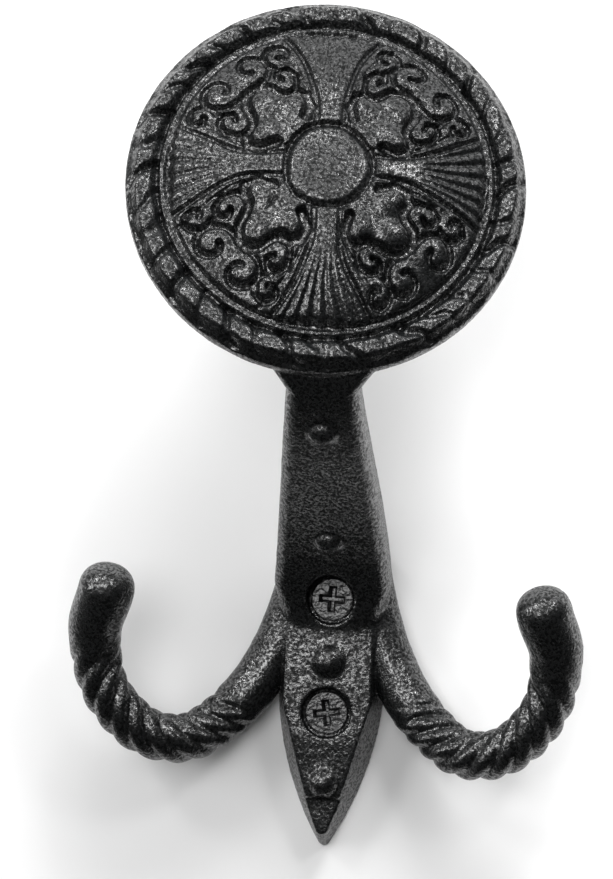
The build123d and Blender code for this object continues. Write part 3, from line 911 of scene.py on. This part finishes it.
bm = merged_copy("hook_casting")
bmesh.ops.bisect_plane(
    bm, geom=bm.verts[:] + bm.edges[:] + bm.faces[:], dist=CUT_TOLERANCE, clear_outer=True,
    plane_co=MEDALLION_CENTRE + face_out * FACE_CUT * MM, plane_no=face_out,
)
bmesh.ops.triangle_fill(bm, edges=open_edges(bm), use_beauty=True, normal=face_out)
cut_middle, cut_way = on_prong(np.array([PRONG_CUT]))
for side in (1, -1):
    near = {vertex for vertex in bm.verts if side * vertex.co.x > PRONG_SIDE and vertex.co.z < PRONG_TOP}
    edges = [edge for edge in bm.edges if set(edge.verts) <= near]
    faces = [face for face in bm.faces if set(face.verts) <= near]
    flip = Vector((side, 1, 1))
    bmesh.ops.bisect_plane(
        bm, geom=list(near) + edges + faces, dist=CUT_TOLERANCE, clear_outer=True,
        plane_co=Vector(cut_middle[0]) * flip * MM, plane_no=Vector(cut_way[0]) * flip,
    )
    bmesh.ops.edgenet_fill(bm, edges=open_edges(bm))
print("casting cut, with", len(open_edges(bm)), "edges left open")
for mesh in [face_mesh] + prong_meshes:
    bm.from_mesh(mesh)
skin_mesh = bpy.data.meshes.new("casting_skin_base")
bm.to_mesh(skin_mesh)
bm.free()
skin = finished(skin_mesh)

# %% [markdown]
# ## One skin
# A voxel remesh makes one skin of the cut casting, the face and the prongs, as the poured iron is one
# piece. Boolean unions could do that too, but they leave sharp seams. Where the prongs leave the plate
# the casting has broad round fillets: there a vertex group takes many smoothing steps, beside the middle
# so that the bosses and the screw recess keep their edges. A few steps then round every edge, as sand
# and paint do, and a cloudy displacement makes the surfaces as uneven as a casting.

# %% One skin
VOXEL = 0.27 * MM
FILLET_FROM = 2.6
FILLET_TO = 19.0
FILLET_SIDES = (5.0, 20.0)
FILLET_SCREW = 11.0
FILLET_CLEAR = 5.7
FILLET_STEPS = 60
SMOOTH_STEPS = 5
SMOOTH_FACTOR = 0.5
WAVE = 4.0 * MM
WAVE_HEIGHT = 0.16 * MM

remesh = skin.modifiers.new("one_skin", "REMESH")
remesh.mode = "VOXEL"
remesh.voxel_size = VOXEL
skin_mesh = evaluated_mesh(skin)
skin.modifiers.clear()
skin.data = skin_mesh

points = mesh_points(skin_mesh) / MM
from_screw = np.hypot(points[:, 0], points[:, 2] - FILLET_SCREW)
height = points[:, 2]
sideways = np.abs(points[:, 0])
in_fillet = (height > FILLET_FROM) & (height < FILLET_TO) & (from_screw > FILLET_CLEAR)
in_fillet &= (sideways > FILLET_SIDES[0]) & (sideways < FILLET_SIDES[1])
fillets = skin.vertex_groups.new(name="fillets")
fillets.add(np.flatnonzero(in_fillet).tolist(), 1.0, "REPLACE")
blend = skin.modifiers.new("cast_fillets", "SMOOTH")
blend.factor = SMOOTH_FACTOR
blend.iterations = FILLET_STEPS
blend.vertex_group = fillets.name
soften = skin.modifiers.new("cast_edges", "SMOOTH")
soften.factor = SMOOTH_FACTOR
soften.iterations = SMOOTH_STEPS
clouds = bpy.data.textures.new("cast_unevenness", "CLOUDS")
clouds.noise_scale = WAVE
uneven = skin.modifiers.new("cast_unevenness", "DISPLACE")
uneven.texture = clouds
uneven.texture_coords = "LOCAL"
uneven.strength = WAVE_HEIGHT
triangles = sum(len(polygon.vertices) - 2 for polygon in evaluated_mesh(skin).polygons)
print("one skin:", triangles, "triangles, with", int(in_fillet.sum()), "points in the fillets")

# %% [markdown]
# ## Finished casting
# The remesh spends as many triangles on the flat back as on the leaves. A decimation takes them away
# where the surface is plain and keeps them where the detail is. Points that the displacement has pushed
# out of the CAD box, or into the wall, are brought back, and the skin takes the place of the CAD casting.

# %% Finished casting
SKIN_TRIANGLES = 196000

thin = skin.modifiers.new("fewer_triangles", "DECIMATE")
thin.ratio = min(1.0, SKIN_TRIANGLES / triangles)
skin_mesh = evaluated_mesh(skin)
bpy.data.objects.remove(skin)
skin_mesh.name = "casting_skin"
points = np.clip(mesh_points(skin_mesh), cad_low, cad_high)
points[:, 1] = np.minimum(points[:, 1], 0)
skin_mesh.vertices.foreach_set("co", points.ravel())
skin_mesh.shade_smooth()
skin_mesh.materials.clear()
skin_mesh.materials.append(iron_finish)
casting = finished(skin_mesh)
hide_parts("hook_casting")
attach(casting, "root")
print("casting skin:", len(skin_mesh.polygons), "faces after thinning")

# %% [markdown]
# ## Screw heads
# The heads come from the CAD solids, because their cross recesses are already right. The CAD copy is cut
# off behind the wall face, where the thread begins. Flat triangles are joined into whole faces first, so
# that a bevel finds the real edges, and the bevel rounds them a little so that the rims catch the light.

# %% Screw heads
SHANK_CUT = 1.2 * MM
FLAT_ANGLE = radians(1)
SHARP_ANGLE = radians(38)
HEAD_ROUND = 0.22 * MM
HEAD_SEGMENTS = 2

bm = merged_copy("wood_screws")
bmesh.ops.bisect_plane(
    bm, geom=bm.verts[:] + bm.edges[:] + bm.faces[:], dist=CUT_TOLERANCE, clear_outer=True,
    plane_co=(0, SHANK_CUT, 0), plane_no=(0, 1, 0),
)
bmesh.ops.edgenet_fill(bm, edges=open_edges(bm))
bmesh.ops.dissolve_limit(bm, angle_limit=FLAT_ANGLE, verts=bm.verts, edges=bm.edges)
sharp = [edge for edge in bm.edges if edge.is_manifold and edge.calc_face_angle() > SHARP_ANGLE]
bmesh.ops.bevel(
    bm, geom=sharp, offset=HEAD_ROUND, offset_type="OFFSET", affect="EDGES",
    segments=HEAD_SEGMENTS, profile=0.5, material=-1, clamp_overlap=True,
)
print("screw edges rounded:", len(sharp))

# %% [markdown]
# ## Threaded shanks
# The solids leave out the thread. Its core is a profile spun round the screw's axis, with a blunt point.
# The thread is a small triangle that turns round the core while it moves along it, which the same spin
# does when it is given a step along the axis. Blender's Screw modifier could do that too, but this way
# head, core and thread stay in one mesh.

# %% Threaded shanks
SCREW_SPACING = 22.0 * MM
THREAD_RADIUS = 2.1 * MM
THREAD_START = 1.5 * MM
THREAD_END = 13.5 * MM
THREAD_PITCH = 1.6 * MM
THREAD_STEPS = 24
TOOTH_SINK = 0.9
TOOTH_HALF_SHARE = 0.42
CORE_RADIUS = 1.5 * MM
CORE_LEAD = 1.0 * MM
POINT_END = 17.3 * MM
POINT_RADIUS = 0.3 * MM
SCREW_WELD = 0.002 * MM

turns = (THREAD_END - THREAD_START) / THREAD_PITCH
core = (
    (0, THREAD_START - CORE_LEAD),
    (CORE_RADIUS, THREAD_START - CORE_LEAD),
    (CORE_RADIUS, THREAD_END),
    (POINT_RADIUS, POINT_END),
    (0, POINT_END),
)
tooth = (
    (CORE_RADIUS * TOOTH_SINK, -TOOTH_HALF_SHARE * THREAD_PITCH),
    (THREAD_RADIUS, 0),
    (CORE_RADIUS * TOOTH_SINK, TOOTH_HALF_SHARE * THREAD_PITCH),
)
for side in (1, -1):
    axis_point = Vector((0, 0, side * SCREW_SPACING / 2))
    corners = [bm.verts.new(axis_point + Vector((r, y, 0))) for r, y in core]
    lines = [bm.edges.new(pair) for pair in zip(corners, corners[1:])]
    bmesh.ops.spin(
        bm, geom=corners + lines, cent=axis_point, axis=(0, 1, 0), angle=2 * pi, steps=THREAD_STEPS,
        use_merge=True,
    )
    corners = [bm.verts.new(axis_point + Vector((r, THREAD_START + y, 0))) for r, y in tooth]
    first = bm.faces.new(corners)
    bmesh.ops.spin(
        bm, geom=[first], cent=axis_point, axis=(0, 1, 0), dvec=(0, THREAD_PITCH / THREAD_STEPS, 0),
        angle=2 * pi * turns, steps=int(THREAD_STEPS * turns), use_merge=False,
    )
bmesh.ops.remove_doubles(bm, verts=bm.verts, dist=SCREW_WELD)
bmesh.ops.recalc_face_normals(bm, faces=bm.faces)
screw_mesh = bpy.data.meshes.new("threaded_wood_screws")
bm.to_mesh(screw_mesh)
bm.free()
screw_mesh.materials.append(screw_finish)
screws = finished(screw_mesh)
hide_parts("wood_screws")
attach(screws, "root")
print("screws:", len(screw_mesh.polygons), "faces, with", round(turns, 1), "turns of thread each")
